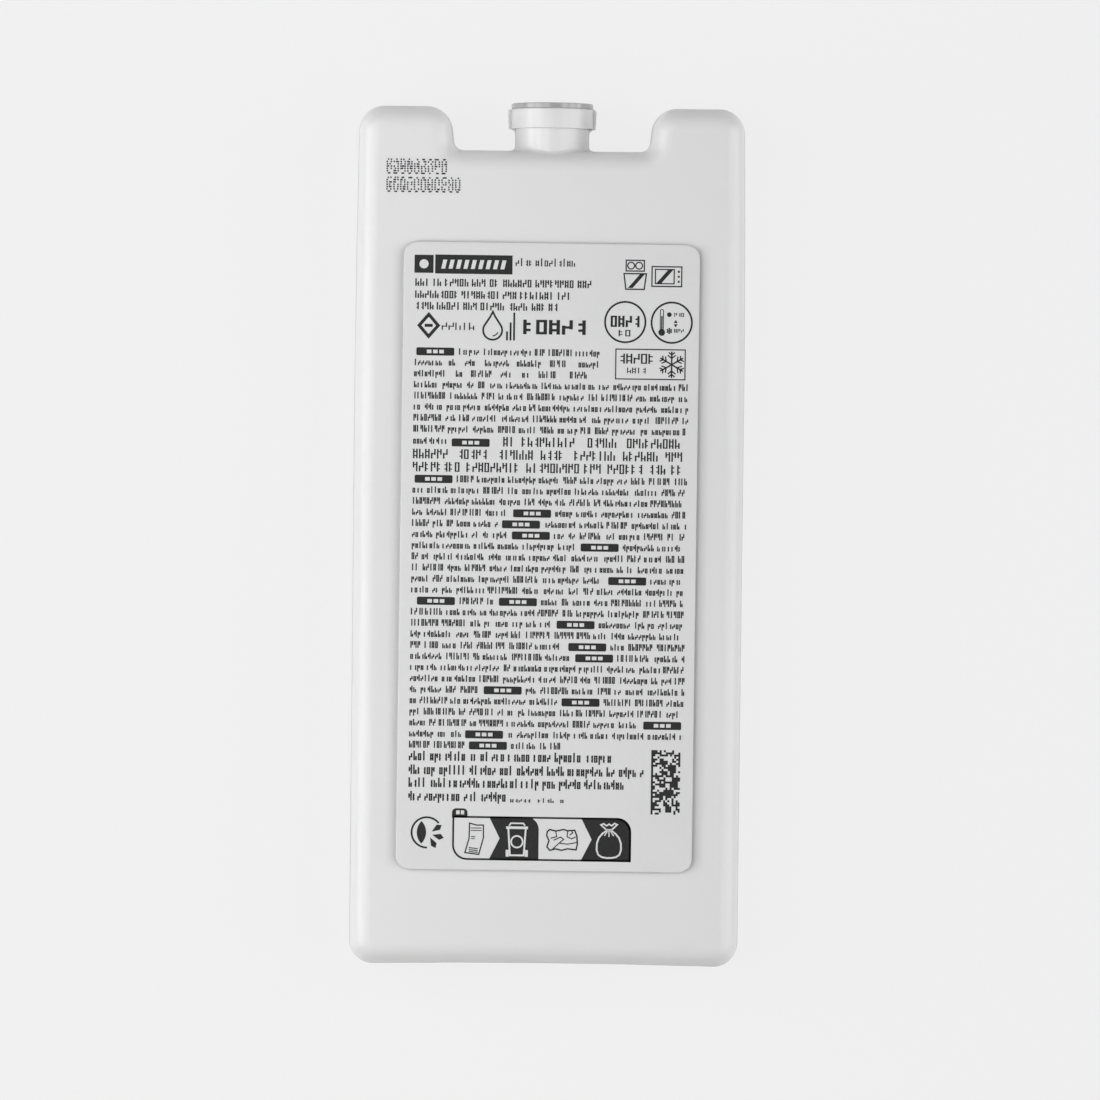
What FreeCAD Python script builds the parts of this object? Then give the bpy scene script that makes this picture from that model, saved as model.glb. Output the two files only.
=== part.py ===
import FreeCAD, Part
import math
import os

# Reusable ice pack: a sealed blow-moulded bottle, the plug that closes it and its paper label.
# All sizes are in millimetres. +X is the width, +Y runs from the base edge to the neck, and +Z is
# the thickness. The pack lies on its plain back, and the origin is the centre of its footprint.

# Overall sizes
overall_length = 165.0      # base edge to the top of the plug
base_width = 74.4           # across the parting line at the base edge
body_thickness = 18.0       # between the two broad faces

# Outline of the bottle, at its parting line
side_swell = 0.2            # each side stands out this much more at its widest place
ear_drawn_in = 0.3          # each side is this much further in at the tops of the ears
swell_below_ears = 33.0     # from the ear tops down to the widest place
base_dish = 0.42            # the base edge is this much hollow at its middle
corner_radius = 4.7         # corners of the base
ear_radius = 5.0            # both corners of each ear
straight_run = 2.6          # least straight stretch between a corner's round and a gentle bend
ear_rise = 8.35             # ear tops above the floor of the notch
notch_floor_width = 37.2    # between the ears, at the floor of the notch
notch_flare = 0.9           # each ear wall leans out by this much over its height
notch_radius = 1.9          # where the ear walls meet the floor of the notch

# Side walls and rolled edges
side_draft = 2.5            # degrees, from the parting line towards each broad face
edge_radius = 3.8           # rolled edge between a side wall and a broad face
least_corner = 0.3          # least corner radius left inside the rolled edge

# Neck, collar and bore
collar_setback = 1.1        # the collar keeps this far inside the thickness of the body
collar_height = 3.8
collar_step = 0.8           # the collar stands out this far from the neck
collar_top_bevel = 0.1
collar_foot_round = 0.2
neck_height = 4.15          # floor of the notch to the foot of the collar
neck_wall = 1.6
neck_flare = 0.9            # round where the neck grows out of the shoulder

# Ribs left by the mould on both sides of the collar, at the parting line
seam_rise = 0.57            # out from the collar, at the top
seam_taper = 0.15           # this much less at the foot of the collar
seam_thickness = 1.2
seam_shoulder = 0.4         # slant at the top of each rib
seam_web = 0.9              # hollow curve from the foot of each rib to the neck
seam_root = 1.0             # each rib reaches this far into the neck

# Plug
plug_rim_inset = 0.05       # the rim is this much smaller in radius than the collar
plug_rim_height = 1.05
plug_rim_bevel = 0.15       # on both edges of the rim
plug_stem_length = 7.0
plug_stem_lead = 0.6
plug_clearance = 0.05       # in radius, between the stem and the bore
bore_end_gap = 1.0          # below the tip of the stem

# Label and the raised pad under it
label_side_margin = 8.95    # from the base width to the label, each side
label_foot_margin = 18.4    # from the base edge
label_head_margin = 17.9    # from the floor of the notch
label_radius = 2.7
label_thickness = 0.15
label_edge_lean = 0.08      # its cut edge leans in by this much
label_turn = -0.15          # degrees, as it was stuck on
label_shift = 0.07          # sideways, as it was stuck on
label_overhang = 0.35       # the label reaches this far past the top of the pad
pad_rise = 0.65             # top of the pad above the front face
pad_corner_radius = 1.5     # tighter than the label's, so the pad comes out to it at the corners
pad_draft_inset = 0.05      # the pad's wall leans in by this much over its height

# Places worked out from the sizes above
base_y = -overall_length / 2
plug_top_y = overall_length / 2
collar_top_y = plug_top_y - plug_rim_height
collar_foot_y = collar_top_y - collar_height
notch_floor_y = collar_foot_y - neck_height
ear_top_y = notch_floor_y + ear_rise
parting_z = body_thickness / 2
draft_inset = parting_z * math.tan(math.radians(side_draft))
swell_reach = swell_below_ears - ear_radius - straight_run
base_dish_reach = base_width / 2 - corner_radius - straight_run
base_dish_point = base_dish / (1 - base_dish_reach / base_width)
tightest_corner = min(corner_radius, ear_radius)
face_edge_radius = min(edge_radius, tightest_corner - draft_inset - least_corner)

collar_radius = parting_z - collar_setback
neck_radius = collar_radius - collar_step
seam_radius = collar_radius + seam_rise
bore_radius = neck_radius - neck_wall
bore_depth = collar_top_y - plug_stem_length - bore_end_gap
plug_rim_radius = collar_radius - plug_rim_inset
plug_stem_radius = bore_radius - plug_clearance

label_width = base_width - 2 * label_side_margin
label_foot_y = base_y + label_foot_margin
label_head_y = notch_floor_y - label_head_margin
label_middle_y = (label_head_y + label_foot_y) / 2
pad_root_z = body_thickness - edge_radius
pad_top_z = body_thickness + pad_rise


def flat(x, y):
    """A point in the plane of an outline."""
    return FreeCAD.Vector(x, y, 0)


def sides_at(corners, index):
    """Unit directions of the sides that arrive at a corner and leave it."""
    here = corners[index][0]
    arriving = here - corners[index - 1][0]
    leaving = corners[(index + 1) % len(corners)][0] - here
    return arriving.normalize(), leaving.normalize()


def turn_at(corners, index):
    """The turn at a corner in radians, positive to the left."""
    arriving, leaving = sides_at(corners, index)
    return math.atan2(arriving.cross(leaving).z, arriving.dot(leaving))


def eased(corners, index, reach):
    """The corners, with one given the radius whose round starts and ends at reach from it."""
    radius = reach / math.tan(abs(turn_at(corners, index)) / 2)
    point = corners[index][0]
    return corners[:index] + [(point, radius)] + corners[index + 1:]


def inset(corners, distance):
    """Anticlockwise corners with every side moved inwards and every round kept concentric."""
    moved = []
    for index, (point, radius) in enumerate(corners):
        arriving, leaving = sides_at(corners, index)
        normal_in = flat(-arriving.y, arriving.x)
        normal_out = flat(-leaving.y, leaving.x)
        share = distance / (1 + normal_in.dot(normal_out))
        change = math.copysign(distance, turn_at(corners, index))
        moved.append((point + (normal_in + normal_out) * share, radius - change))
    return moved


def rounded_wire(corners, z):
    """A closed wire at height z: straight sides joined by tangent arcs."""
    lift = FreeCAD.Vector(0, 0, z)
    starts = []
    middles = []
    ends = []
    for index, (point, radius) in enumerate(corners):
        arriving, leaving = sides_at(corners, index)
        half_turn = abs(turn_at(corners, index)) / 2
        reach = radius * math.tan(half_turn)
        inward = (leaving - arriving).normalize()
        sagitta = radius / math.cos(half_turn) - radius
        starts.append(point - arriving * reach + lift)
        middles.append(point + inward * sagitta + lift)
        ends.append(point + leaving * reach + lift)
    edges = []
    for index in range(len(corners)):
        following = (index + 1) % len(corners)
        edges.append(Part.Arc(starts[index], middles[index], ends[index]).toShape())
        edges.append(Part.LineSegment(ends[index], starts[following]).toShape())
    return Part.Wire(edges)


def drafted_block(corners, low_z, high_z, lean):
    """A solid on the outline at low_z whose walls lean inwards by lean at high_z."""
    low = rounded_wire(corners, low_z)
    high = rounded_wire(inset(corners, lean), high_z)
    return Part.makeLoft([low, high], True, True)


def edges_at_height(shape, z):
    """Edges that lie wholly in the plane at height z."""
    box = [(edge, edge.BoundBox) for edge in shape.Edges]
    return [edge for edge, b in box if abs(b.ZMin - z) < 1e-4 and abs(b.ZMax - z) < 1e-4]


def rectangle(width, foot_y, head_y, radius):
    """Anticlockwise corners of a rectangle with equal rounds."""
    half = width / 2
    places = [(-half, foot_y), (half, foot_y), (half, head_y), (-half, head_y)]
    return [(flat(x, y), radius) for x, y in places]


def bottle_outline():
    """Anticlockwise corners of the bottle at its parting line, from the left end of the base."""
    swell_y = ear_top_y - swell_below_ears
    notch_floor = notch_floor_width / 2
    notch_mouth = notch_floor + notch_flare
    right_side = [
        (base_width / 2, base_y, corner_radius),
        (base_width / 2 + side_swell, swell_y, 0),
        (base_width / 2 - ear_drawn_in, ear_top_y, ear_radius),
        (notch_mouth, ear_top_y, ear_radius),
        (notch_floor, notch_floor_y, notch_radius),
    ]
    right = [(flat(x, y), radius) for x, y, radius in right_side]
    left = [(flat(-x, y), radius) for x, y, radius in reversed(right_side)]
    corners = [(flat(0, base_y + base_dish_point), 0)] + right + left
    right_swell = 2
    left_swell = len(corners) - right_swell
    corners = eased(corners, 0, base_dish_reach)
    corners = eased(corners, right_swell, swell_reach)
    return eased(corners, left_swell, swell_reach)


def body():
    """Two mirrored halves that meet at the parting line, each with its rolled edge."""
    half = drafted_block(bottle_outline(), parting_z, body_thickness, draft_inset)
    half = half.makeFillet(face_edge_radius, edges_at_height(half, body_thickness))
    other = half.mirror(FreeCAD.Vector(0, 0, parting_z), FreeCAD.Vector(0, 0, 1))
    return half.fuse(other)


def profile_edges(profile):
    """Lines and arcs in the parting plane, each given as its two ends and a middle or None."""
    edges = []
    for start, end, via in profile:
        ends = [FreeCAD.Vector(x, y, parting_z) for x, y in (start, end)]
        if via is None:
            edges.append(Part.LineSegment(*ends).toShape())
        else:
            middle = FreeCAD.Vector(via[0], via[1], parting_z)
            edges.append(Part.Arc(ends[0], middle, ends[1]).toShape())
    return edges


def turned(profile):
    """A solid turned about the neck's axis from a profile of (radius, y) points."""
    face = Part.Face(Part.Wire(profile_edges(profile)))
    return face.revolve(FreeCAD.Vector(0, 0, parting_z), FreeCAD.Vector(0, 1, 0), 360)


def mirrored(point, side):
    """A profile point on the right, side 1, or on the left, side -1."""
    return point and (side * point[0], point[1])


def chain(points):
    """Profile pieces that join the points with straight lines and close on the first."""
    return [(a, b, None) for a, b in zip(points, points[1:] + points[:1])]


def neck_and_collar():
    """Plain neck, rooted in the body, with the thicker collar at its mouth."""
    root_y = notch_floor_y - 2 * edge_radius
    points = [
        (0, root_y),
        (neck_radius, root_y),
        (neck_radius, collar_foot_y),
        (collar_radius - collar_foot_round, collar_foot_y),
        (collar_radius, collar_foot_y + collar_foot_round),
        (collar_radius, collar_top_y - collar_top_bevel),
        (collar_radius - collar_top_bevel, collar_top_y),
        (0, collar_top_y),
    ]
    profile = chain(points)
    slant = collar_foot_round * math.sqrt(0.5)
    round_middle = (points[3][0] + slant, points[4][1] - slant)
    profile[3] = (points[3], points[4], round_middle)
    return turned(profile)


def seam_rib(side):
    """Flat rib on one side of the collar that runs out on the neck in a hollow curve."""
    inner = neck_radius - seam_root
    foot_radius = seam_radius - seam_taper
    web_foot_y = collar_foot_y - seam_web
    reach = foot_radius - neck_radius
    slant = 1 - math.sqrt(0.5)
    points = [
        (inner, web_foot_y),
        (neck_radius, web_foot_y),
        (foot_radius, collar_foot_y),
        (seam_radius, collar_top_y - seam_shoulder),
        (seam_radius - seam_shoulder, collar_top_y),
        (inner, collar_top_y),
    ]
    profile = chain(points)
    web_middle = (neck_radius + reach * slant, collar_foot_y - seam_web * slant)
    profile[1] = (points[1], points[2], web_middle)
    profile = [tuple(mirrored(point, side) for point in piece) for piece in profile]
    face = Part.Face(Part.Wire(profile_edges(profile)))
    face.translate(FreeCAD.Vector(0, 0, -seam_thickness / 2))
    return face.extrude(FreeCAD.Vector(0, 0, seam_thickness))


def neck_root_edges(shape):
    """Edges where the neck's cylinder meets the shoulder of the body."""
    found = []
    for edge in shape.Edges:
        reaches = [math.hypot(v.X, v.Z - parting_z) for v in edge.Vertexes]
        on_neck = all(abs(reach - neck_radius) < 1e-3 for reach in reaches)
        if on_neck and edge.BoundBox.YMax < notch_floor_y + 0.5:
            found.append(edge)
    return found


def bore():
    """Blind bore for the stem of the plug."""
    return turned(chain([
        (0, bore_depth),
        (bore_radius, bore_depth),
        (bore_radius, collar_top_y),
        (0, collar_top_y),
    ]))


def label_outline(margin, radius):
    """The label's rectangle, square to the body, with a margin left off all round."""
    return rectangle(label_width - 2 * margin, label_foot_y + margin, label_head_y - margin, radius)


def pad():
    """Raised pad that carries the label, rooted in the body."""
    top = label_outline(label_overhang, pad_corner_radius)
    foot = inset(top, -pad_draft_inset)
    raised = drafted_block(foot, body_thickness, pad_top_z, pad_draft_inset)
    root = drafted_block(foot, pad_root_z, body_thickness, 0)
    return raised.fuse(root)


def bottle():
    """Body, neck and collar with its ribs, the bore for the plug and the raised pad."""
    shape = body().fuse(neck_and_collar())
    shape = shape.makeFillet(neck_flare, neck_root_edges(shape))
    shape = shape.fuse([seam_rib(1), seam_rib(-1), pad()])
    return shape.cut(bore()).removeSplitter()


def plug():
    """Closing plug: a thin rim on the collar and a stem in the bore."""
    tip_y = collar_top_y - plug_stem_length
    return turned(chain([
        (0, tip_y),
        (plug_stem_radius - plug_stem_lead, tip_y),
        (plug_stem_radius, tip_y + plug_stem_lead),
        (plug_stem_radius, collar_top_y),
        (plug_rim_radius - plug_rim_bevel, collar_top_y),
        (plug_rim_radius, collar_top_y + plug_rim_bevel),
        (plug_rim_radius, plug_top_y - plug_rim_bevel),
        (plug_rim_radius - plug_rim_bevel, plug_top_y),
        (0, plug_top_y),
    ]))


def label():
    """Paper label, stuck on the pad a little out of square."""
    outline = label_outline(0, label_radius)
    sheet = drafted_block(outline, pad_top_z, pad_top_z + label_thickness, label_edge_lean)
    sheet.rotate(FreeCAD.Vector(0, label_middle_y, 0), FreeCAD.Vector(0, 0, 1), label_turn)
    sheet.translate(FreeCAD.Vector(label_shift, 0, 0))
    return sheet


os.makedirs("parts", exist_ok=True)
for name, make in (("bottle", bottle), ("plug", plug), ("label", label)):
    piece = make()
    piece.exportStep("parts/" + name + ".step")
    print(name, "valid", piece.isValid(), "solids", len(piece.Solids), "cc", round(piece.Volume / 1000, 2))
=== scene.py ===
import bpy
import math
import random
from collections import namedtuple
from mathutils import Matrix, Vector


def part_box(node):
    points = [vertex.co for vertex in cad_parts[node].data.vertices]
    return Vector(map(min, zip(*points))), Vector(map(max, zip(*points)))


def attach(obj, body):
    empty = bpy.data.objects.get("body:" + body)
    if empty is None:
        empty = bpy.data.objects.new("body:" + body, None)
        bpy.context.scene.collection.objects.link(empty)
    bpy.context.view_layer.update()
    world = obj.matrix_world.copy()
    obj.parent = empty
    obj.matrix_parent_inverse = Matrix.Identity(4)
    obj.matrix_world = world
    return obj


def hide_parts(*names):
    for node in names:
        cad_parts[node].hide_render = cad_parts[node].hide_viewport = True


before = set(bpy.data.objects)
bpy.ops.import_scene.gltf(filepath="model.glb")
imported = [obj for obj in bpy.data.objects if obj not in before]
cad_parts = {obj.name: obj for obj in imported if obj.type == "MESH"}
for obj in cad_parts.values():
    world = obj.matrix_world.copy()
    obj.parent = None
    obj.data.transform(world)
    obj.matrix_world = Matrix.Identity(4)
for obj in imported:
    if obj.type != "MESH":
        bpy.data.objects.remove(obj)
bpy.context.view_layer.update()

MM = 0.001

# The photograph's framing. Pixels are those of its 1100 x 1100 frame.
PHOTO_SIDE_PX = 1100
METRES_PER_PX = 0.0001916       # at the bottle's parting line
ORIGIN_PX = (547.7, 534.8)      # where the middle of the pack shows
PACK_LEAN = math.radians(0.64)  # the pack lies this far clockwise in the picture
CAMERA_HEIGHT = 1.8             # above the parting line
SENSOR_WIDTH_MM = 36.0
CLIP_END = 10.0                 # how far the camera sees

# The bottle
PARTING_HEIGHT = 9.0 * MM
FRONT_FACE = 2 * PARTING_HEIGHT

# Ground
GROUND_HALF = 3.0               # half the side of its square
GROUND_WHITE = 0.871            # the even tone that the camera sees
GROUND_BOUNCE = 0.85            # what the ground returns to the pack
GROUND_SHADE = 0.06             # share of the seen tone that takes the pack's shadow

# Lamps round the pack, in groups that share an azimuth (0 is the right, 90 the neck end) and a
# distance. Each lamp has an elevation, its own height as a share of the distance, and watts. Those on
# the left stand nearer, so the light fades to the right.
LAMP_GROUPS = (
    (180, 0.6, (
        (18, 0.133, 0.39),
        (26, 0.133, 0.76),
        (36, 0.167, 0.38),
        (46, 0.133, 0.41),
        (55, 0.25, 0.76),
        (75, 0.25, 0.65),
    )),
    (0, 1.6, (
        (10, 0.133, 6.2),
        (26, 0.133, 3.2),
        (36, 0.167, 3.6),
        (55, 0.25, 4.7),
    )),
    (90, 1.2, ((35, 0.25, 0.43),)),
    (270, 1.2, ((35, 0.25, 0.95),)),
)
SKY = 0.026                     # strength of the white world

# Label, as it lies on its pad
LABEL_TURN = math.radians(-0.15)
LABEL_CORNER = 2.7 * MM
LABEL_CORNER_STEPS = 12
LABEL_SHADOW_REACH = 2.2 * MM          # how far from the label's long edges the painted shadow reaches
LABEL_SHADOW_DEPTH = 0.15              # and by what share the painted shadow darkens the plastic at the edge itself
INK_RELIEF = 0.030 * MM         # the paper lies this far under the top of the CAD label
DARK_INK = (0.010 * MM, 0.012 * MM)     # below and above the paper
PALE_INK = (0.0, 0.020 * MM)


def build_camera():
    """A long lens that looks straight down, rolled so that the pack leans as in the photograph."""
    centre_px = PHOTO_SIDE_PX / 2
    right = (centre_px - ORIGIN_PX[0]) * METRES_PER_PX
    up = (ORIGIN_PX[1] - centre_px) * METRES_PER_PX
    aim = Vector((
        right * math.cos(PACK_LEAN) - up * math.sin(PACK_LEAN),
        right * math.sin(PACK_LEAN) + up * math.cos(PACK_LEAN),
        PARTING_HEIGHT,
    ))
    data = bpy.data.cameras.new("camera")
    data.sensor_width = SENSOR_WIDTH_MM
    data.lens = SENSOR_WIDTH_MM * CAMERA_HEIGHT / (PHOTO_SIDE_PX * METRES_PER_PX)
    data.clip_end = CLIP_END
    camera = bpy.data.objects.new("camera", data)
    camera.location = aim + Vector((0, 0, CAMERA_HEIGHT))
    camera.rotation_euler = (0, 0, PACK_LEAN)
    bpy.context.scene.collection.objects.link(camera)
    bpy.context.scene.camera = camera


def softbox(azimuth, elevation, distance, height_share, power):
    """An area lamp that faces the pack, as wide as it is far away."""
    turn = math.radians(azimuth)
    lift = math.radians(elevation)
    away = Vector((
        math.cos(lift) * math.cos(turn),
        math.cos(lift) * math.sin(turn),
        math.sin(lift),
    ))
    data = bpy.data.lights.new("lamp", "AREA")
    data.shape = "RECTANGLE"
    data.size = distance
    data.size_y = distance * height_share
    data.energy = power
    lamp = bpy.data.objects.new("lamp", data)
    lamp.location = away * distance
    lamp.rotation_euler = away.to_track_quat("Z", "Y").to_euler()
    lamp.visible_camera = False
    bpy.context.scene.collection.objects.link(lamp)


def build_lights():
    """The lamps, and a faint even sky."""
    for azimuth, distance, lamps in LAMP_GROUPS:
        for elevation, height_share, power in lamps:
            softbox(azimuth, elevation, distance, height_share, power)
    world = bpy.data.worlds.new("world")
    world.use_nodes = True
    background = world.node_tree.nodes["Background"]
    background.inputs["Color"].default_value = (1, 1, 1, 1)
    background.inputs["Strength"].default_value = SKY
    bpy.context.scene.world = world


def ground_material():
    """To camera, glossy and transmission rays one even tone, a share of which takes shadow, and to
    all other rays a plain pale surface."""
    material = bpy.data.materials.new("floor")
    material.use_nodes = True
    tree = material.node_tree
    tree.nodes.clear()
    output = tree.nodes.new("ShaderNodeOutputMaterial")
    ways = tree.nodes.new("ShaderNodeLightPath")
    mirrored = tree.nodes.new("ShaderNodeMath")
    mirrored.operation = "MAXIMUM"
    any_way = tree.nodes.new("ShaderNodeMath")
    any_way.operation = "MAXIMUM"
    tone = tree.nodes.new("ShaderNodeEmission")
    tone.inputs["Color"].default_value = (1, 1, 1, 1)
    tone.inputs["Strength"].default_value = GROUND_WHITE
    white = tree.nodes.new("ShaderNodeBsdfDiffuse")
    white.inputs["Color"].default_value = (1, 1, 1, 1)
    seen = tree.nodes.new("ShaderNodeMixShader")
    seen.inputs["Fac"].default_value = GROUND_SHADE
    bounce = tree.nodes.new("ShaderNodeBsdfDiffuse")
    bounce.inputs["Color"].default_value = (GROUND_BOUNCE, GROUND_BOUNCE, GROUND_BOUNCE, 1)
    mix = tree.nodes.new("ShaderNodeMixShader")
    tree.links.new(ways.outputs["Is Glossy Ray"], mirrored.inputs[0])
    tree.links.new(ways.outputs["Is Transmission Ray"], mirrored.inputs[1])
    tree.links.new(ways.outputs["Is Camera Ray"], any_way.inputs[0])
    tree.links.new(mirrored.outputs[0], any_way.inputs[1])
    tree.links.new(tone.outputs[0], seen.inputs[1])
    tree.links.new(white.outputs[0], seen.inputs[2])
    tree.links.new(any_way.outputs[0], mix.inputs["Fac"])
    tree.links.new(bounce.outputs[0], mix.inputs[1])
    tree.links.new(seen.outputs[0], mix.inputs[2])
    tree.links.new(mix.outputs[0], output.inputs["Surface"])
    return material


def build_floor():
    """A flat square of ground under the pack."""
    half = GROUND_HALF
    corners = [(-half, -half, 0), (half, -half, 0), (half, half, 0), (-half, half, 0)]
    mesh = bpy.data.meshes.new("floor")
    mesh.from_pydata(corners, [], [(0, 1, 2, 3)])
    mesh.materials.append(ground_material())
    floor = bpy.data.objects.new("floor", mesh)
    bpy.context.scene.collection.objects.link(floor)


class Finish:
    """A principled material whose colour, roughness and relief come from noise in object space."""

    def __init__(self, name):
        self.material = bpy.data.materials.new(name)
        self.material.use_nodes = True
        self.tree = self.material.node_tree
        self.shader = self.tree.nodes["Principled BSDF"]
        self.place = self.tree.nodes.new("ShaderNodeTexCoord").outputs["Object"]

    def link(self, output, to):
        self.tree.links.new(output, to)

    def noise(self, scale, detail=2.0, stretch=None):
        """Noise whose features are 1 / scale metres across."""
        node = self.tree.nodes.new("ShaderNodeTexNoise")
        node.inputs["Scale"].default_value = scale
        node.inputs["Detail"].default_value = detail
        place = self.place
        if stretch:
            mapping = self.tree.nodes.new("ShaderNodeMapping")
            mapping.inputs["Scale"].default_value = stretch
            self.link(place, mapping.inputs["Vector"])
            place = mapping.outputs["Vector"]
        self.link(place, node.inputs["Vector"])
        return node.outputs["Fac"]

    def ramp(self, value, low, high, start=0.3, end=0.7):
        """A number that runs from low to high as value runs from start to end, and no further."""
        node = self.tree.nodes.new("ShaderNodeMapRange")
        node.inputs["From Min"].default_value = start
        node.inputs["From Max"].default_value = end
        node.inputs["To Min"].default_value = low
        node.inputs["To Max"].default_value = high
        self.link(value, node.inputs["Value"])
        return node.outputs["Result"]

    def combine(self, operation, first, second):
        """The result of a Math node on two numbers or sockets."""
        node = self.tree.nodes.new("ShaderNodeMath")
        node.operation = operation
        for value, socket in ((first, node.inputs[0]), (second, node.inputs[1])):
            if isinstance(value, (int, float)):
                socket.default_value = value
            else:
                self.link(value, socket)
        return node.outputs[0]

    def distance(self, value, origin):
        """How far a number lies from its origin, either way."""
        return self.combine("ABSOLUTE", self.combine("SUBTRACT", value, origin), 0)

    def parts(self, vector):
        """The X, Y and Z outputs of a vector."""
        node = self.tree.nodes.new("ShaderNodeSeparateXYZ")
        self.link(vector, node.inputs["Vector"])
        return node.outputs["X"], node.outputs["Y"], node.outputs["Z"]

    def grey(self, level):
        """Base colour from one number."""
        node = self.tree.nodes.new("ShaderNodeCombineColor")
        for channel in ("Red", "Green", "Blue"):
            self.link(level, node.inputs[channel])
        self.link(node.outputs["Color"], self.shader.inputs["Base Color"])

    def roughness(self, level):
        self.link(level, self.shader.inputs["Roughness"])

    def relief(self, height, depth):
        """Bump of the given depth in metres, on top of any bump there is."""
        node = self.tree.nodes.new("ShaderNodeBump")
        node.inputs["Strength"].default_value = 1.0
        node.inputs["Distance"].default_value = depth
        self.link(height, node.inputs["Height"])
        normal = self.shader.inputs["Normal"]
        if normal.is_linked:
            self.link(normal.links[0].from_socket, node.inputs["Normal"])
        self.link(node.outputs["Normal"], normal)


def label_painted_shadow(finish, x, y):
    """A factor that darkens the plastic a little close beside the label's long edges: a painted shadow that
    stands in for part of the label's cast shadow.
    """
    centre, half_width, half_length, _, _ = label_frame()
    across = finish.distance(x, centre[0])
    along = finish.distance(y, centre[1])
    near = finish.ramp(across, 1, 0, half_width, half_width + LABEL_SHADOW_REACH)
    beside = finish.ramp(along, 1, 0, half_length - LABEL_CORNER, half_length)
    both = finish.combine("MULTIPLY", near, beside)
    return finish.ramp(both, 1.0, 1.0 - LABEL_SHADOW_DEPTH, 0.0, 1.0)


def bottle_white():
    """Satin blown plastic over water: faintly uneven, with painted shade that makes it darker where it turns
    away to the sides, a painted shadow beside the label's long edges, and the mould's fine flash at the
    parting line."""
    seam_darkening = 0.08
    finish = Finish("bottle_white")
    clouds = finish.noise(scale=18, detail=2.0)
    grain = finish.noise(scale=1400, detail=3.0)
    waves = finish.noise(scale=45, detail=1.0)
    x, y, z = finish.parts(finish.place)
    seam = finish.ramp(finish.distance(z, PARTING_HEIGHT), 1, 0, 0.06 * MM, 0.22 * MM)
    normal = finish.tree.nodes.new("ShaderNodeNewGeometry").outputs["Normal"]
    up_share = finish.distance(finish.parts(normal)[2], 0)
    # Painted shade: the colour darkens where the surface turns away from the face towards the sides.
    painted_side_shade = finish.ramp(up_share, 0.60, 1.0, start=0.0, end=0.28)
    tone = finish.combine("MULTIPLY", finish.ramp(clouds, 0.80, 0.82), painted_side_shade)
    # Painted shadow: the plastic is darker close beside the label's long edges.
    tone = finish.combine("MULTIPLY", tone, label_painted_shadow(finish, x, y))
    tone = finish.combine("SUBTRACT", tone, finish.combine("MULTIPLY", seam, seam_darkening))
    finish.grey(tone)
    finish.roughness(finish.ramp(grain, 0.28, 0.38))
    finish.shader.inputs["Specular IOR Level"].default_value = 0.7
    finish.shader.inputs["Subsurface Weight"].default_value = 0.35
    finish.shader.inputs["Subsurface Radius"].default_value = (1, 1, 1)
    finish.shader.inputs["Subsurface Scale"].default_value = 1.2 * MM
    finish.relief(waves, depth=0.05 * MM)
    finish.relief(grain, depth=0.004 * MM)
    finish.relief(seam, depth=0.05 * MM)
    return finish.material


def plug_grey():
    """Smooth injected plastic with faint turning marks round the rim."""
    round_the_rim = (0.15, 4.0, 0.15)
    finish = Finish("plug_grey")
    clouds = finish.noise(scale=160, detail=2.0)
    rings = finish.noise(scale=500, detail=2.0, stretch=round_the_rim)
    finish.grey(finish.ramp(clouds, 0.40, 0.44))
    finish.roughness(finish.ramp(rings, 0.14, 0.20))
    finish.shader.inputs["Specular IOR Level"].default_value = 1.0
    finish.relief(rings, depth=0.006 * MM)
    return finish.material


FIBRE_STRETCH = (1.0, 0.35, 1.0)        # the paper's fibres lie along the label


def label_paper():
    """Matt coated paper with a little fibre."""
    finish = Finish("label_paper")
    fibre = finish.noise(scale=2600, detail=4.0, stretch=FIBRE_STRETCH)
    clouds = finish.noise(scale=60, detail=3.0)
    tone = finish.combine("ADD", finish.ramp(clouds, 0.735, 0.751), finish.ramp(fibre, -0.006, 0.006))
    finish.grey(tone)
    finish.roughness(finish.ramp(fibre, 0.5, 0.62))
    finish.relief(fibre, depth=0.003 * MM)
    return finish.material


def label_cut():
    """The cut edge of the label, painted dark grey as shade for the shadow line along the label's edge."""
    finish = Finish("label_cut")
    edge_mottle = finish.noise(scale=700, detail=3.0)
    # Painted shade: the edge's dark grey stands for the shadow line round the label.
    finish.grey(finish.ramp(edge_mottle, 0.16, 0.30))
    finish.roughness(finish.ramp(edge_mottle, 0.6, 0.8))
    finish.relief(edge_mottle, depth=0.003 * MM)
    return finish.material


def ink_black():
    """Printed black, a little rubbed and grey where it is thin."""
    finish = Finish("ink_black")
    wear = finish.noise(scale=3000, detail=3.0)
    finish.grey(finish.ramp(wear, 0.012, 0.022))
    finish.roughness(finish.ramp(wear, 0.46, 0.6))
    finish.shader.inputs["Specular IOR Level"].default_value = 0.35
    finish.relief(wear, depth=0.002 * MM)
    return finish.material


def ink_pale():
    """Bare paper that shows through the dark fields."""
    finish = Finish("ink_pale")
    fibre = finish.noise(scale=2600, detail=4.0, stretch=FIBRE_STRETCH)
    finish.grey(finish.ramp(fibre, 0.70, 0.74))
    finish.roughness(finish.ramp(fibre, 0.5, 0.62))
    finish.relief(fibre, depth=0.002 * MM)
    return finish.material


def dress(node, material):
    """Gives a carried CAD node its material."""
    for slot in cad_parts[node].material_slots:
        slot.material = material


def add_piece(name, vertices, faces, material):
    """A mesh that rides with the pack, with the given material."""
    mesh = bpy.data.meshes.new(name)
    mesh.from_pydata(vertices, [], faces)
    mesh.validate()
    mesh.materials.append(material)
    piece = bpy.data.objects.new(name, mesh)
    bpy.context.scene.collection.objects.link(piece)
    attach(piece, "root")
    return piece


def arc_points(centre, radius, start, end, steps):
    """Points on an arc, angles in degrees from +X towards +Y."""
    points = []
    for index in range(steps + 1):
        angle = math.radians(start + (end - start) * index / steps)
        points.append((centre[0] + radius * math.cos(angle), centre[1] + radius * math.sin(angle)))
    return points


def circle_points(centre, radius, steps=24):
    return arc_points(centre, radius, 0, 360, steps)[:-1]


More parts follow.
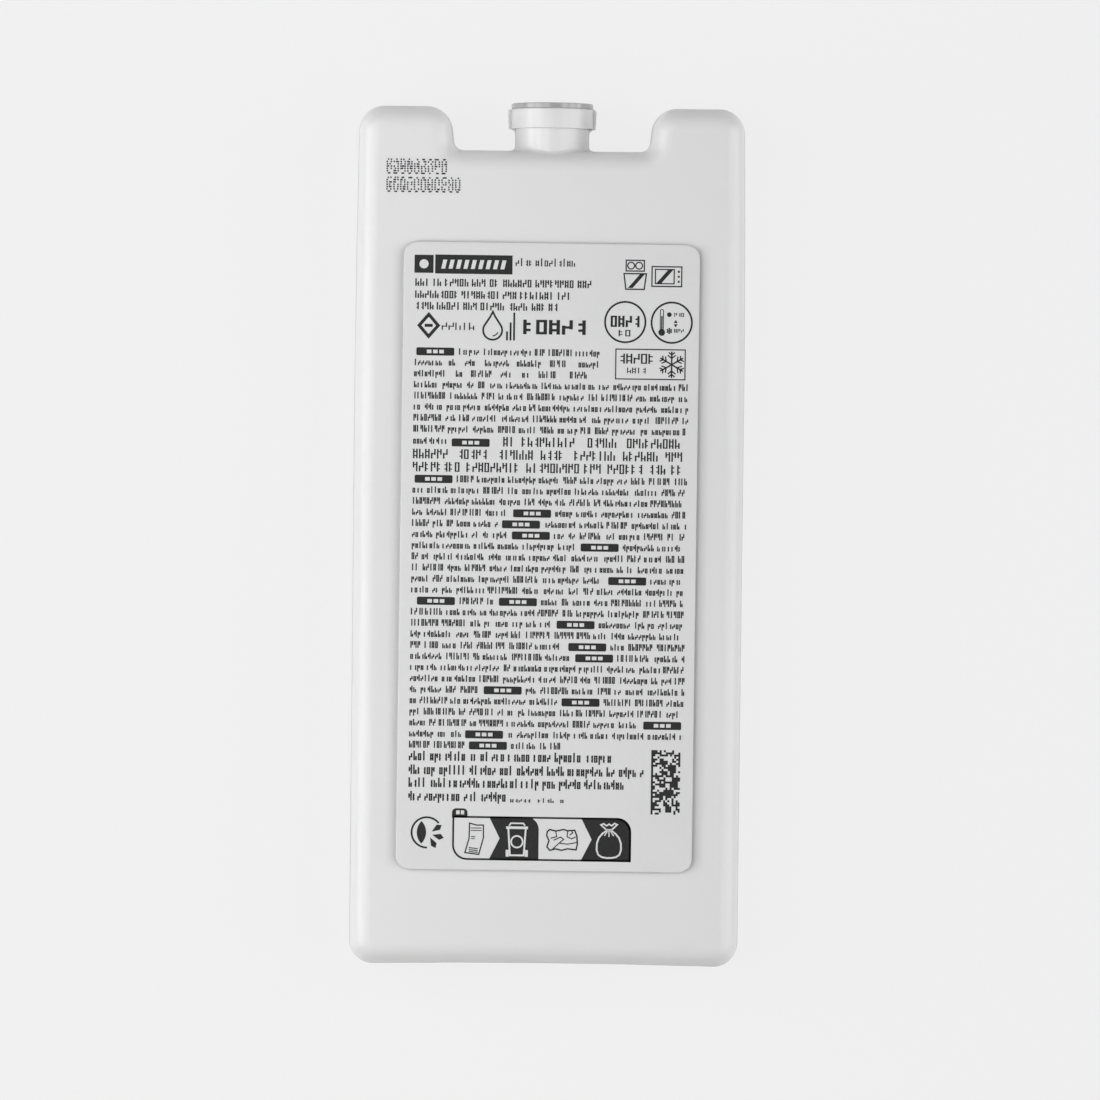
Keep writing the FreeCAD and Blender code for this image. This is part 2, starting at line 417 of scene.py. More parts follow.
def rounded_box(left, top, right, bottom, radii, steps=6):
    """A rectangle with its own radius at each corner, in the order of the quarter turns from +X +Y."""
    places = [(right, bottom, -1, -1), (left, bottom, 1, -1), (left, top, 1, 1), (right, top, -1, 1)]
    points = []
    for quarter, (x, y, inward_x, inward_y) in enumerate(places):
        radius = radii[quarter]
        if radius == 0:
            points.append((x, y))
            continue
        centre = (x + inward_x * radius, y + inward_y * radius)
        points += arc_points(centre, radius, 90 * quarter, 90 * quarter + 90, steps)
    return points


def signed_area(points):
    total = 0
    for (ax, ay), (bx, by) in zip(points, points[1:] + points[:1]):
        total += ax * by - bx * ay
    return total / 2


def strip_faces(low, high):
    """The faces between two loops with as many points."""
    return list(zip(low, low[1:] + low[:1], high[1:] + high[:1], high))


class Ink:
    """Closed flat prisms laid on a plane of the pack. Print units are photograph pixels, X right, Y down."""

    def __init__(self, place, surface, depths):
        self.place = place
        self.low = surface - depths[0]
        self.high = surface + depths[1]
        self.vertices = []
        self.faces = []

    def loop(self, points, z):
        """Adds the points at a height, and returns their numbers."""
        first = len(self.vertices)
        self.vertices += [(*self.place(x, y), z) for x, y in points]
        return list(range(first, first + len(points)))

    def polygon(self, points):
        """A filled shape."""
        if signed_area(points) > 0:
            points = points[::-1]
        low = self.loop(points, self.low)
        high = self.loop(points, self.high)
        self.faces.append(low[::-1])
        self.faces.append(high)
        self.faces += strip_faces(low, high)

    def box(self, left, top, right, bottom):
        self.polygon([(left, top), (right, top), (right, bottom), (left, bottom)])

    def slanted(self, left, top, bottom, width, lean):
        """A level-footed bar whose top lies to the right of its foot by the lean. Left is at its foot."""
        self.polygon([
            (left, bottom),
            (left + lean, top),
            (left + lean + width, top),
            (left + width, bottom),
        ])

    def disc(self, centre, radius, steps=16):
        self.polygon(circle_points(centre, radius, steps))

    def band(self, outer, inner):
        """The ring between two outlines with as many points."""
        if signed_area(outer) > 0:
            outer = outer[::-1]
            inner = inner[::-1]
        loops = [self.loop(points, z) for points in (outer, inner) for z in (self.low, self.high)]
        outer_low, outer_high, inner_low, inner_high = loops
        self.faces += strip_faces(outer_low, outer_high)
        self.faces += strip_faces(outer_high, inner_high)
        self.faces += strip_faces(inner_high, inner_low)
        self.faces += strip_faces(inner_low, outer_low)

    def ring(self, centre, radius, weight, steps=32):
        """A circle drawn with a line of the given weight, whose middle has the radius."""
        outer = circle_points(centre, radius + weight / 2, steps)
        inner = circle_points(centre, radius - weight / 2, steps)
        self.band(outer, inner)

    def frame(self, left, top, right, bottom, weight, radii=(0, 0, 0, 0)):
        """A box's outline. The line lies inside the box."""
        inner = [max(radius - weight, 0) if radius else 0 for radius in radii]
        self.band(
            rounded_box(left, top, right, bottom, radii),
            rounded_box(left + weight, top + weight, right - weight, bottom - weight, inner),
        )

    def line(self, points, weight, closed=False):
        """A line of the given weight along a path, mitred at its corners."""
        count = len(points)
        sides = ([], [])
        for index, point in enumerate(points):
            here = Vector(point)
            before = Vector(points[index - 1]) if closed or index > 0 else None
            after = Vector(points[(index + 1) % count]) if closed or index < count - 1 else None
            into = (here - before).normalized() if before else (after - here).normalized()
            out = (after - here).normalized() if after else into
            normals = [Vector((-way.y, way.x)) for way in (into, out)]
            mitre = (normals[0] + normals[1]) / (1 + normals[0].dot(normals[1]))
            for side, sign in zip(sides, (1, -1)):
                moved = here + mitre * (sign * weight / 2)
                side.append((moved.x, moved.y))
        if closed:
            outer, inner = sorted(sides, key=lambda side: -abs(signed_area(side)))
            self.band(outer, inner)
        else:
            self.polygon(sides[0] + sides[1][::-1])

    def make(self, name, material):
        return add_piece(name, self.vertices, self.faces, material)


def label_frame():
    """Centre, half width, half length, foot and top of the label, from the box of its CAD node."""
    low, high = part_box("label")
    centre = ((low[0] + high[0]) / 2, (low[1] + high[1]) / 2)
    reach_x = (high[0] - low[0]) / 2 - LABEL_CORNER
    reach_y = (high[1] - low[1]) / 2 - LABEL_CORNER
    turn = abs(LABEL_TURN)
    half_width = reach_x * math.cos(turn) - reach_y * math.sin(turn) + LABEL_CORNER
    half_length = reach_y * math.cos(turn) - reach_x * math.sin(turn) + LABEL_CORNER
    return centre, half_width, half_length, low[2], high[2]


def turned_with_label(centre, x, y):
    """A point measured from the label's centre along its own sides, as a place on the pack."""
    return (
        centre[0] + x * math.cos(LABEL_TURN) - y * math.sin(LABEL_TURN),
        centre[1] + x * math.sin(LABEL_TURN) + y * math.cos(LABEL_TURN),
    )


# The label's edge, from its foot upwards, in millimetres: inwards from the cut edge, and down from
# the paper's face. The foot itself takes its height from the CAD label.
EDGE_FOOT_INWARDS = 0.02
EDGE_ROLL = ((0.0, 0.085), (0.03, 0.06), (0.11, 0.036), (0.24, 0.012), (0.42, 0.0))
CUT_STRIPS = 2                  # how many strips of faces, counted from the foot, are the cut edge


def build_label_sheet(material, cut_edge):
    """The paper: flat on its pad, with its cut edge rolled down a little all round."""
    centre, half_width, half_length, foot, top = label_frame()
    paper = top - INK_RELIEF
    rows = [(EDGE_FOOT_INWARDS, foot)] + [(inwards, paper - drop * MM) for inwards, drop in EDGE_ROLL]
    vertices = []
    loops = []
    for inwards, z in rows:
        right = half_width - inwards * MM
        end = half_length - inwards * MM
        corners = [LABEL_CORNER - inwards * MM] * 4
        outline = rounded_box(-right, -end, right, end, corners, LABEL_CORNER_STEPS)
        first = len(vertices)
        vertices += [(*turned_with_label(centre, x, y), z) for x, y in outline]
        loops.append(list(range(first, first + len(outline))))
    faces = []
    for low, high in zip(loops, loops[1:]):
        faces += strip_faces(low, high)
    faces.append(loops[0][::-1])
    faces.append(loops[-1])
    piece = add_piece("label_sheet", vertices, faces, material)
    # The cut edge takes the dark grey of painted shade.
    piece.data.materials.append(cut_edge)
    for polygon in piece.data.polygons:
        polygon.use_smooth = len(polygon.vertices) == 4
        polygon.material_index = int(polygon.index < CUT_STRIPS * len(outline))
    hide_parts("label")
    return paper


PRINT_SHIFT = (-0.3, 0.5)       # of the whole print from the label's centre, as the sheet was cut


def print_place():
    """A function from print units, measured from the label's centre, to metres on the pack."""
    centre, _, _, _, top = label_frame()
    unit = METRES_PER_PX * (1 - (top - PARTING_HEIGHT) / CAMERA_HEIGHT)

    def place(x, y):
        right = (x + PRINT_SHIFT[0]) * unit
        up = -(y + PRINT_SHIFT[1]) * unit
        return turned_with_label(centre, right, up)

    return place


# Marks that stand for small print. Each is a set of strokes that is no letter: "|" is upright at a
# share of the width, from one height to another, and "-" lies level at a height.
MARKS = (
    (("|", 0, 0, 1), ("|", 1, 0, 1), ("-", 0.25, 0, 1), ("-", 0.75, 0, 1)),
    (("|", 0, 0, 1), ("-", 0.25, 0, 1), ("-", 0.75, 0, 1)),
    (("|", 1, 0, 1), ("-", 0.25, 0, 1), ("-", 0.75, 0, 1)),
    (("|", 0, 0, 1.4), ("|", 1, 0, 0.55), ("-", 0.25, 0, 1)),
    (("|", 0, 0.45, 1), ("|", 1, 0, 1.4), ("-", 0.75, 0, 1)),
    (("|", 0, -0.35, 1), ("|", 1, 0.45, 1), ("-", 0.75, 0, 1)),
    (("|", 0, 0, 1), ("|", 1, 0, 1), ("-", 0, 0, 1), ("-", 1, 0, 1)),
    (("|", 0, 0, 0.55), ("|", 1, 0.45, 1), ("-", 0.5, 0, 1)),
    (("|", 0, 0, 1), ("|", 1, 0, 0.55)),
    (("|", 0.4, 0, 1.4),),
)
LEVEL_SHARE = 0.72              # weight of the level strokes to that of the upright ones


def mark(ink, strokes, left, base, width, height, weight, capital=False):
    """One mark, from its lower left corner. A capital keeps between the base and the height."""
    span = width - weight
    rise = height - weight * LEVEL_SHARE
    for kind, along, start, end in strokes:
        if kind == "|":
            if capital:
                start, end = max(start, 0), min(end, 1)
            x = left + along * span
            ink.box(x, base - end * rise - weight * LEVEL_SHARE, x + weight, base - start * rise)
        else:
            y = base - along * rise
            begin = left + start * span + (weight if start == 0 else 0)
            finish = left + end * span
            ink.box(begin, y - weight * LEVEL_SHARE, finish, y)


# A size of print, in print units. Word holds the fewest and the most marks in a word, and capitals
# is the share of words in capitals.
PrintSize = namedtuple("PrintSize", "height pitch weight gap word capitals")
SMALL = PrintSize(height=5.0, pitch=3.55, weight=1.28, gap=2.6, word=(2, 9), capitals=0.3)
ONE_WORD = (9, 9)
MARK_SHARE = 0.8                # of the pitch that a mark fills
CAPITAL_RISE = 1.38             # height of a capital to that of the other marks
GAP_SPREAD = (0.7, 1.4)         # how far the gaps between words vary


def text_line(ink, chance, size, left, right, base):
    """A line of marks in words, from left to right. Where all words are in capitals, none is taller."""
    x = left
    remaining = 0
    while x + size.pitch * MARK_SHARE < right:
        if remaining == 0:
            remaining = chance.randint(*size.word)
            capital = chance.random() < size.capitals
            height = size.height * CAPITAL_RISE if capital and size.capitals < 1 else size.height
            x += size.gap * chance.uniform(*GAP_SPREAD) if x > left else 0
            continue
        mark(ink, chance.choice(MARKS), x, base, size.pitch * MARK_SHARE, height, size.weight, capital)
        x += size.pitch
        remaining -= 1


# From here on, all places on the label are in print units from its centre.
TEXT_LEFT = -136
TEXT_RIGHT = 139
LINE_BASE = 7.0                 # from the top of a line of small print down to its base
LINE_PITCH = 11.08
CLOSE_GAP = 3.0                 # between the words of small print

TAG_WIDTH, TAG_HEIGHT = 38, 8
TAG_CORNER = 1.4
TAG_GAP = 4                     # between a tag and the print beside it
TAG_BLOCKS = 3
TAG_BLOCK_START = 10.5
TAG_BLOCK_PITCH = 6.2
TAG_BLOCK_WIDTH = 4.6
TAG_BLOCK_MARGIN = 2.2


def tag(dark, pale, left, top):
    """A dark rounded tag with small pale blocks."""
    right = left + TAG_WIDTH
    bottom = top + TAG_HEIGHT
    dark.polygon(rounded_box(left, top, right, bottom, [TAG_CORNER] * 4, 3))
    for index in range(TAG_BLOCKS):
        x = left + TAG_BLOCK_START + index * TAG_BLOCK_PITCH
        pale.box(x, top + TAG_BLOCK_MARGIN, x + TAG_BLOCK_WIDTH, bottom - TAG_BLOCK_MARGIN)


def tagged_line(dark, pale, chance, top, tags, right, gap=CLOSE_GAP):
    """A line of small print that makes room for its tags."""
    size = SMALL._replace(gap=gap)
    base = top + LINE_BASE
    x = TEXT_LEFT
    for start in tags:
        text_line(dark, chance, size, x, start - TAG_GAP, base)
        tag(dark, pale, start, top)
        x = start + TAG_WIDTH + TAG_GAP
    text_line(dark, chance, size, x, right, base)


def print_top_lines(dark, chance):
    """A short line beside the dark fields, and three lines in capitals under them."""
    beside = SMALL._replace(height=6.0, pitch=4.5)
    beside_left, beside_right, beside_base = -36, 26, -291
    text_line(dark, chance, beside, beside_left, beside_right, beside_base)
    capitals = SMALL._replace(height=7.6, pitch=4.9, weight=1.45, capitals=1)
    for base, right in ((-269.8, 41), (-257.8, 20), (-246.4, 9)):
        text_line(dark, chance, capitals, TEXT_LEFT, right, base)


def print_first_paragraph(dark, pale, chance):
    """Small print, whose first three lines are short and loosely set beside the framed box."""
    top = -208.5
    first_tag = -134
    short_right = 50
    full_lines = 5
    lines = (
        ((first_tag,), short_right, CLOSE_GAP),
        ((), short_right, 8.0),
        ((), short_right, 10.0),
    ) + (((), TEXT_RIGHT, CLOSE_GAP),) * full_lines
    for index, (tags, right, gap) in enumerate(lines):
        tagged_line(dark, pale, chance, top + index * LINE_PITCH, tags, right, gap)


def print_larger_paragraph(dark, pale, chance):
    """Three larger lines in capitals. The end of the small print stands before them, with a tag."""
    small_right, small_base = -101, -112
    tag_left, tag_top = -97.4, -117.8
    larger = SMALL._replace(height=9.6, pitch=6.0, weight=1.6, capitals=1)
    text_line(dark, chance, SMALL, TEXT_LEFT, small_right, small_base)
    tag(dark, pale, tag_left, tag_top)
    for base, left, gap in ((-110.4, -46, 9.0), (-97.4, TEXT_LEFT, 8.0), (-84.4, TEXT_LEFT, 4.5)):
        text_line(dark, chance, larger._replace(gap=gap), left, TEXT_RIGHT, base)


# Line by line, where the dark tags start in the long paragraph
PARAGRAPH_TAGS = (
    (-134,), (), (), (-35,), (-46,), (-36,), (33,), (), (), (61,), (), (-130, -48), (), (10,), (),
    (22,), (29,), (), (), (-62,), (16,), (), (98,), (-80,), (-76,),
)


def print_long_paragraph(dark, pale, chance):
    """The long paragraph of small print. Its last line ends early."""
    top = -81
    last_right = 16
    last = len(PARAGRAPH_TAGS) - 1
    for index, tags in enumerate(PARAGRAPH_TAGS):
        right = last_right if index == last else TEXT_RIGHT
        tagged_line(dark, pale, chance, top + index * LINE_PITCH, tags, right)


def print_last_lines(dark, chance):
    """Four larger lines at the foot, the last of which ends in tiny print."""
    larger = SMALL._replace(height=7.2, pitch=4.5, weight=1.62, capitals=0)
    tiny = SMALL._replace(height=3.6, pitch=4.2, weight=1.1, gap=5.0, capitals=0)
    tiny_left, tiny_right, tiny_base = -34, 22, 245.5
    for base, right in ((204.6, 70), (218.4, 100), (231.2, 85), (244.8, -38)):
        text_line(dark, chance, larger, TEXT_LEFT, right, base)
    text_line(dark, chance, tiny, tiny_left, tiny_right, tiny_base)


def print_text(dark, pale, chance):
    """All the lines of print, as marks that spell nothing."""
    print_top_lines(dark, chance)
    print_first_paragraph(dark, pale, chance)
    print_larger_paragraph(dark, pale, chance)
    print_long_paragraph(dark, pale, chance)
    print_last_lines(dark, chance)


BOLD_ROW = (1, 6, 0, 7, 2)      # which marks stand in the boldest row, in turn


def bold_row(ink, picks, left, base, pitch, width, height, weight):
    """A row of large marks, each picked by its number."""
    for index, pick in enumerate(picks):
        mark(ink, MARKS[pick], left + index * pitch, base, width, height, weight, True)


def print_fields(dark, pale):
    """Two dark fields side by side, one with a pale disc and one with slanted pale bars."""
    disc_field = (-137, -301, -118, -283)
    disc_middle, disc_radius = (-127.5, -292), 4.6
    bar_field = (-116.3, -301.5, -39, -282.5)
    bars, first_bar, bar_pitch = 9, -110.3, 7.4
    bar_top, bar_bottom, bar_width, bar_lean = -296.5, -287.5, 4.0, 2.0
    dark.box(*disc_field)
    pale.disc(disc_middle, disc_radius, 20)
    dark.box(*bar_field)
    for index in range(bars):
        pale.slanted(first_bar + index * bar_pitch, bar_top, bar_bottom, bar_width, bar_lean)


def print_diamond(dark, chance):
    """A diamond with a level bar in it, and a short thin row of marks beside it."""
    x, y = -122, -230.5
    reach_x, reach_y, line = 9.5, 11.0, 3.2
    bar_reach_x, bar_reach_y = 4.0, 1.5
    row_left, row_right, row_base = -109, -75, -226.3
    thin = SMALL._replace(height=7.4, pitch=6.8, weight=1.3, word=ONE_WORD, capitals=1)
    dark.line([(x, y - reach_y), (x + reach_x, y), (x, y + reach_y), (x - reach_x, y)], line, closed=True)
    dark.box(x - bar_reach_x, y - bar_reach_y, x + bar_reach_x, y + bar_reach_y)
    text_line(dark, chance, thin, row_left, row_right, row_base)


def print_drop(dark):
    """A drop with a glint, and three rising bars beside it."""
    x, y = -58, -226.5
    radius, line = 9.5, 1.9
    glint_radius, glint_line = 5.6, 1.2
    throat_reach, throat_rise, tip_rise = 2.5, 13.5, 18.5
    bars_foot, bar_width = -216.5, 1.9
    throat = [(x - throat_reach, y - throat_rise), (x, y - tip_rise), (x + throat_reach, y - throat_rise)]
    dark.line(arc_points((x, y), radius, -30, 210, 20) + throat, line, closed=True)
    dark.line(arc_points((x, y), glint_radius, 20, 90, 8), glint_line)
    for left, rise in ((-44.5, 9), (-41, 18), (-37.5, 28)):
        dark.box(left, bars_foot - rise, left + bar_width, bars_foot)


def print_header(dark, pale, chance):
    """The dark fields, and the row of signs under the lines in capitals."""
    print_fields(dark, pale)
    print_diamond(dark, chance)
    print_drop(dark)
    bold_row(dark, BOLD_ROW, left=-27.5, base=-223, pitch=12.9, width=11.0, height=14.6, weight=3.5)


def snowflake(ink, centre, reach, weight):
    """Six arms, each with two pairs of barbs."""
    barbs = ((0.48, 0.30), (0.74, 0.24))    # how far out each pair grows, and its length
    barb_lean = 0.8
    barb_weight = weight * 0.85
    middle = Vector(centre)
    for arm in range(6):
        angle = math.radians(30 + 60 * arm)
        along = Vector((math.cos(angle), math.sin(angle)))
        across = Vector((-along.y, along.x))
        ink.line([tuple(middle + along * weight), tuple(middle + along * reach)], weight)
        for share, length in barbs:
            foot = middle + along * (reach * share)
            for side in (-1, 1):
                tip = foot + (along * barb_lean + across * side) * (reach * length)
                ink.line([tuple(foot), tuple(tip)], barb_weight)
    ink.disc(centre, weight * 1.1, 6)


def print_cabinets(dark):
    """Two cabinets drawn in line, each with a glint: one with rings in its lid, and one with a
    window and three knobs."""
    lid, lid_line = (74, -299, 93.5, -287), 1.3
    ring_xs, ring_y, ring_radius = (79.6, 87.6), -293, 3.4
    tub, tub_line = [(72.6, -285), (95, -285), (93, -269.4), (74.6, -269.4)], 1.4
    case, case_line = (100, -293, 131, -272), 1.3
    window, window_line = (103.4, -290.2, 123.4, -274.8), 1.2
    knob_x, knob_ys, knob_radius = 127.4, (-287.5, -282.5, -277.5), 1.2
    dark.frame(*lid, lid_line)
    for x in ring_xs:
        dark.ring((x, ring_y), ring_radius, lid_line, 20)
    dark.line(tub, tub_line, closed=True)
    dark.slanted(left=76.6, top=-284.6, bottom=-270.6, width=4.8, lean=12)
    dark.frame(*case, case_line)
    dark.frame(*window, window_line)
    dark.slanted(left=104.4, top=-290, bottom=-275, width=5, lean=13)
    for y in knob_ys:
        dark.disc((knob_x, y), knob_radius, 10)


ROUNDEL_Y = -236.5
ROUNDEL_RADIUS = 20.2
ROUNDEL_LINE = 1.9


def print_bold_roundel(dark):
    """A circle with two rows of bold marks."""
    dark.ring((74.5, ROUNDEL_Y), ROUNDEL_RADIUS, ROUNDEL_LINE, 48)
    bold_row(dark, BOLD_ROW[1:], left=59.9, base=-231.5, pitch=7.5, width=6.4, height=11.2, weight=2.3)
    bold_row(dark, BOLD_ROW[:2], left=68, base=-222.2, pitch=6.6, width=5.2, height=6.4, weight=1.4)


def print_column_roundel(dark, chance):
    """A circle with a column on a bulb, a dot above a snowflake, a tiny row of marks beside each,
    and an arrowhead up and one down between the rows."""
    column_x, column_half, column_top, column_bottom = 111.1, 2.0, -250, -229
    column_line, column_round = 0.9, 1.9
    filling_half, filling_top, filling_bottom = 0.7, -243, -229.5
    bulb_y, bulb_radius = -226.6, 3.4
    dot, dot_radius = (118.5, -244.5), 2.4
    flake, flake_reach, flake_line = (118.7, -228.2), 3.0, 0.8
    row_left, row_right, row_bases = 123.4, 136, (-242.4, -226.4)
    tiny = SMALL._replace(height=4.0, pitch=3.5, weight=0.9, word=ONE_WORD, capitals=1)
    arrow_x, arrow_half = 125, 2
    up_tip, up_foot, down_tip, down_foot = -239.4, -236.2, -231.8, -235
    dark.ring((121, ROUNDEL_Y), ROUNDEL_RADIUS, ROUNDEL_LINE, 48)
    round_top = (0, 0, column_round, column_round)
    dark.frame(
        column_x - column_half, column_top, column_x + column_half, column_bottom, column_line, round_top)
    dark.box(column_x - filling_half, filling_top, column_x + filling_half, filling_bottom)
    dark.disc((column_x, bulb_y), bulb_radius, 16)
    dark.disc(dot, dot_radius, 12)
    snowflake(dark, flake, flake_reach, flake_line)
    for base in row_bases:
        text_line(dark, chance, tiny, row_left, row_right, base)
    for tip, foot in ((up_tip, up_foot), (down_tip, down_foot)):
        dark.polygon([(arrow_x, tip), (arrow_x + arrow_half, foot), (arrow_x - arrow_half, foot)])


def print_frost_box(dark, chance):
    """A framed box with two rows of marks and a snowflake."""
    box, box_line = (65, -210, 135.5, -179), 1.2
    picks = (2, 0, 7, 6, 1)
    row_left, row_right, row_base = 77, 100, -185.3
    small_row = SMALL._replace(height=5.8, pitch=4.9, weight=1.1, word=ONE_WORD, capitals=1)
    flake, flake_reach, flake_line = (121.5, -194.5), 13.2, 1.5
    dark.frame(*box, box_line)
    bold_row(dark, picks, left=68.5, base=-195, pitch=7.4, width=6.2, height=10.0, weight=1.7)
    text_line(dark, chance, small_row, row_left, row_right, row_base)
    snowflake(dark, flake, flake_reach, flake_line)


def print_mosaic(dark, chance):
    """A field of square modules in no order, with a solid left edge."""
    left, top = 106.5, 191.1
    columns, rows = 14, 31
    module = 2.08
    dark_share = 0.56
    for row in range(rows):
        filled = [True] + [chance.random() < dark_share for _ in range(columns - 1)]
        y = top + row * module
        column = 0
        while column < columns:
            run = column
            while run < columns and filled[run]:
                run += 1
            if run > column:
                dark.box(left + column * module, y, left + run * module, y + module)
            column = run + 1


def print_strip_fields(dark, pale):
    """The strip at the foot: an outline with two round corners, a small tab, and two dark fields.
    Each field is notched to a tip on its left and has a round corner on its right."""
    left, top, right, bottom = -91.5, 259.5, 87.5, 303.5
    line = 1.9
    corner, field_corner = 14, 13
    tab_left, tab_top, tab_right, tab_round = -92, 252, -76.5, 4
    block_top, block_bottom, block_width = 254, 258, 3.4
    half = line / 2
    radii = (0, corner, 0, corner)
    outline = rounded_box(left + half, top + half, right - half, bottom - half, radii, 8)
    dark.line(outline, line, closed=True)
    for start, tip, end, radius in ((-55, -44, -5, field_corner), (37, 48, right, corner)):
        round_end = arc_points((end - radius, top + radius), radius, -90, 0, 8)
        dark.polygon([(start, top), *round_end, (end, bottom), (start, bottom), (tip, (top + bottom) / 2)])
    dark.polygon(rounded_box(tab_left, tab_top, tab_right, top + line, (0, 0, tab_round, tab_round), 5))
    for x in (-87.8, -83.2):
        pale.box(x, block_top, x + block_width, block_bottom)


def draw_receipt(ink):
    """A long receipt, curled a little, with short lines at its head and leaning ones at its foot."""
    outline = [
        (-74.2, 266.6), (-67, 268.6), (-60.4, 268.4), (-60.2, 281), (-64.7, 297.8), (-78.6, 296.2),
        (-74.6, 282),
    ]
    outline_weight, line_weight = 1.3, 0.9
    head_lines = ((271, -73, -62), (273.4, -73, -62), (279.6, -72.6, -68.4), (281.6, -72.6, -69))
    ink.line(outline, outline_weight, closed=True)
    for y, left, right in head_lines:
        ink.box(left, y, right, y + line_weight)
    for y in (290.6, 292.6, 294.4):
        ink.polygon([(-74.6, y), (-65.6, y + 1), (-65.8, y + 2), (-74.9, y + 1)])


def draw_bin(ink):
    """A bin with a lid, two feet and a round mark."""
    lid, lid_weight = [(-37.6, 270.6), (-15.8, 270.6)], 2.6
    handle, handle_weight = [(-34.6, 268.6), (-33, 266.2), (-20.4, 266.2), (-18.8, 268.6)], 1.5
    tub, tub_weight = [(-35.4, 271.8), (-33.6, 298.2), (-19.8, 298.2), (-18, 271.8)], 1.8
    foot_top, foot_bottom, foot_width = 292.8, 299.6, 3.0
    ring_centre, ring_radius, ring_weight = (-26.7, 284.6), 5.8, 1.6
    ink.line(lid, lid_weight)
    ink.line(handle, handle_weight)
    ink.line(tub, tub_weight)
    for left in (-37.8, -18.6):
        ink.box(left, foot_top, left + foot_width, foot_bottom)
    ink.ring(ring_centre, ring_radius, ring_weight, 24)


def draw_crumpled_sheet(ink):
    """A crumpled sheet with its creases."""
    outline = [
        (3.6, 274), (6, 272), (12, 273.4), (20, 271.8), (24, 273), (31, 272.4), (33.2, 278), (33.8, 286),
        (32.6, 292), (24, 291), (18, 292.6), (12, 291.2), (6.4, 292.8), (3.4, 289.4), (5.4, 283), (3, 278),
    ]
    creases = (
        [(12, 273.6), (13, 279), (7, 280.6)],
        [(24, 273), (23.4, 279), (28, 281), (32, 279)],
        [(9, 291.6), (15, 286), (20, 281.6), (17, 279.4), (10, 282.6)],
        [(16, 285.6), (24, 286.4), (33, 284.6)],
        [(26, 277.4), (29, 275), (28, 273.4)],
    )
    outline_weight, crease_weight = 1.5, 1.1
    ink.line(outline, outline_weight, closed=True)
    for crease in creases:
        ink.line(crease, crease_weight)


def draw_bag(ink):
    """A bag tied at its neck, with three folds under the knot. X is measured from its middle."""
    middle_x = 65.3
    right_side = [
        (2.6, 272.4), (6.4, 275.2), (10, 279.4), (12, 285), (12.2, 291.6), (10.6, 296.4), (7, 298.8),
        (2.4, 299.6),
    ]
    bow = [
        (-2.8, 271.4), (-8.2, 266.6), (-5.4, 265.4), (-2.6, 267.4), (0, 265.8), (2.6, 267.4), (5.4, 265),
        (8.2, 266.2), (2.8, 271.4),
    ]
    folds = (((-1.6, 273), (-4.6, 277.6)), ((0, 273), (0, 278.6)), ((1.6, 273), (4.6, 277.6)))
    side_weight, bow_weight, fold_weight = 1.7, 1.5, 1.1
    left_side = [(-x, y) for x, y in right_side]
    outlines = ((left_side + right_side[::-1], side_weight, True), (bow, bow_weight, True))
    for points, weight, closed in outlines + tuple((fold, fold_weight, False) for fold in folds):
        ink.line([(middle_x + x, y) for x, y in points], weight, closed)


def print_strip(dark, pale):
    """The strip of four fields at the foot, outlined and dark in turn, each with a line drawing."""
    print_strip_fields(dark, pale)
    draw_receipt(dark)
    draw_bin(pale)
    draw_crumpled_sheet(dark)
    draw_bag(pale)


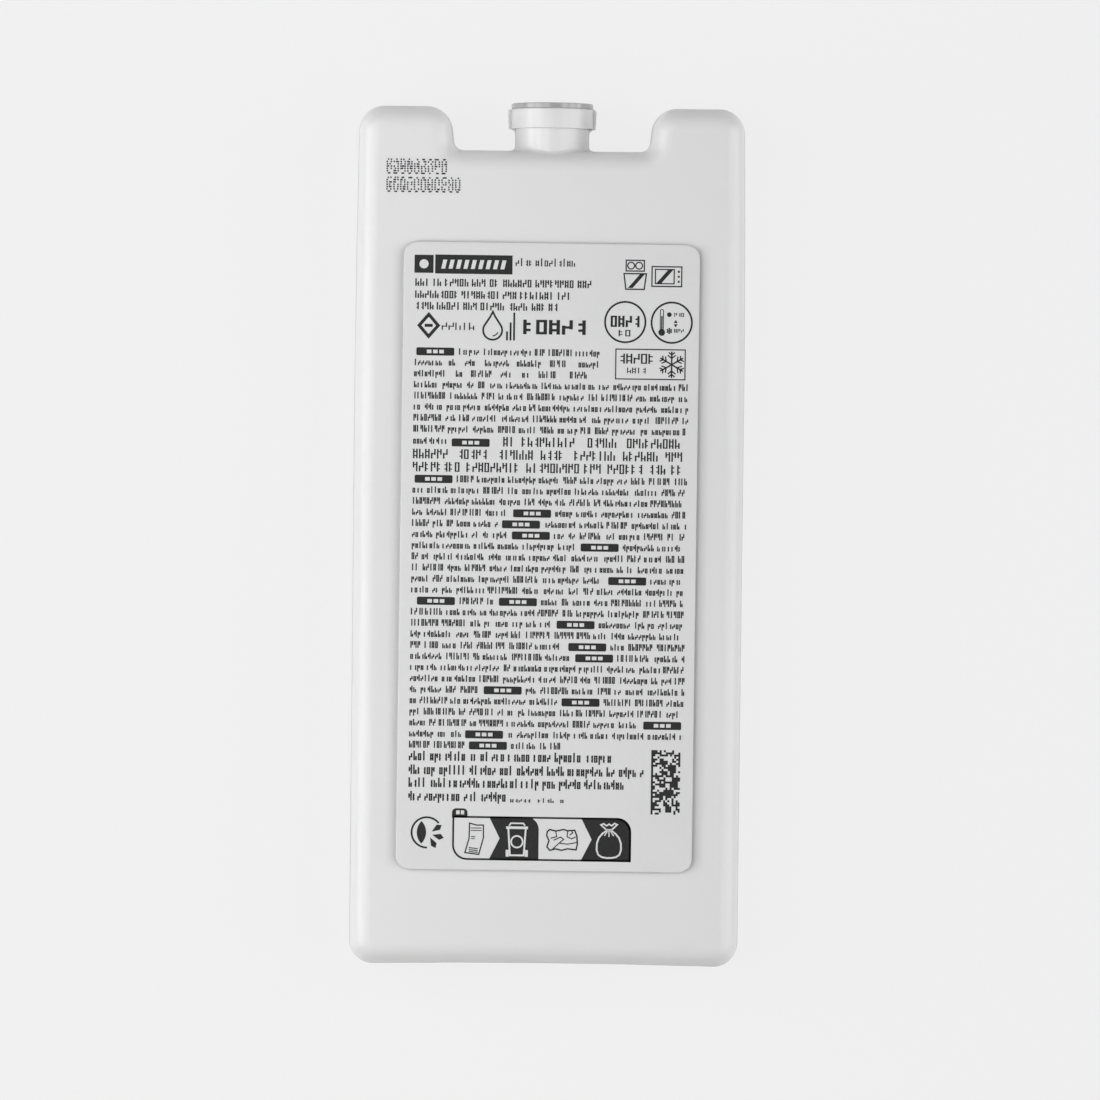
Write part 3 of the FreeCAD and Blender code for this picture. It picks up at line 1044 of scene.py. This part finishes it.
def print_ring_mark(dark):
    """An open ring round a leaf shape, with a fan of three wedges in its gap."""
    x, y = -117, 276.5
    ring_start, ring_end = 88, 322
    ring_outer, ring_inner = 16.1, 14.2
    leaf_radius, leaf_left_arc, leaf_right_arc = 16, x + 6, x - 16.6
    fan_root = Vector((x + 1.6, y + 1.4))
    wedge_near, wedge_widest, wedge_far, wedge_half = 4, 12, 16, 3.1
    outer = arc_points((x, y), ring_outer, ring_start, ring_end, 30)
    inner = arc_points((x, y), ring_inner, ring_start, ring_end, 30)
    dark.polygon(outer + inner[::-1])
    left_half = arc_points((leaf_left_arc, y), leaf_radius, 135, 225, 12)
    right_half = arc_points((leaf_right_arc, y), leaf_radius, -45, 45, 12)
    dark.polygon(left_half + right_half)
    for turn in (-34, 14, 62):
        along = Vector((math.cos(math.radians(turn)), math.sin(math.radians(turn))))
        across = Vector((-along.y, along.x))
        corners = (
            fan_root + along * wedge_near,
            fan_root + along * wedge_widest - across * wedge_half,
            fan_root + along * wedge_far,
            fan_root + along * wedge_widest + across * wedge_half,
        )
        dark.polygon([tuple(corner) for corner in corners])


def print_body_dots(ink, chance):
    """Two rows of small printed dots on the shoulder, in uneven rings of no meaning."""
    dot = 0.92
    pitch_x, pitch_y = 1.3, 2.3
    cell = 6.87
    left = -165.6
    last_column, last_row = 3, 6
    corner_chance, side_chance, inner_chance = 0.15, 0.85, 0.16
    wander = 0.15
    for top, cells in ((-396.4, 9), (-378.2, 11)):
        for index in range(cells):
            for column in range(last_column + 1):
                for row in range(last_row + 1):
                    at_sides = (column in (0, last_column)) + (row in (0, last_row))
                    likely = (inner_chance, side_chance, corner_chance)[at_sides]
                    if chance.random() < likely:
                        x = left + index * cell + column * pitch_x + chance.uniform(-wander, wander)
                        y = top + row * pitch_y + chance.uniform(-wander, wander)
                        ink.disc((x, y), dot, 8)


PRINT_SEED = 11


def build_print(paper):
    """Everything printed on the label, and the dots on the shoulder."""
    chance = random.Random(PRINT_SEED)
    place = print_place()
    dark = Ink(place, paper, DARK_INK)
    pale = Ink(place, paper, PALE_INK)
    print_header(dark, pale, chance)
    print_text(dark, pale, chance)
    print_cabinets(dark)
    print_bold_roundel(dark)
    print_column_roundel(dark, chance)
    print_frost_box(dark, chance)
    print_mosaic(dark, chance)
    print_ring_mark(dark)
    print_strip(dark, pale)
    black = ink_black()
    dark.make("print_dark", black)
    pale.make("print_pale", ink_pale())
    dots = Ink(place, FRONT_FACE, DARK_INK)
    print_body_dots(dots, chance)
    dots.make("shoulder_dots", black)


build_camera()
build_lights()
build_floor()
dress("bottle", bottle_white())
dress("plug", plug_grey())
paper_height = build_label_sheet(label_paper(), label_cut())
build_print(paper_height)

bpy.context.scene.view_settings.view_transform = "Standard"
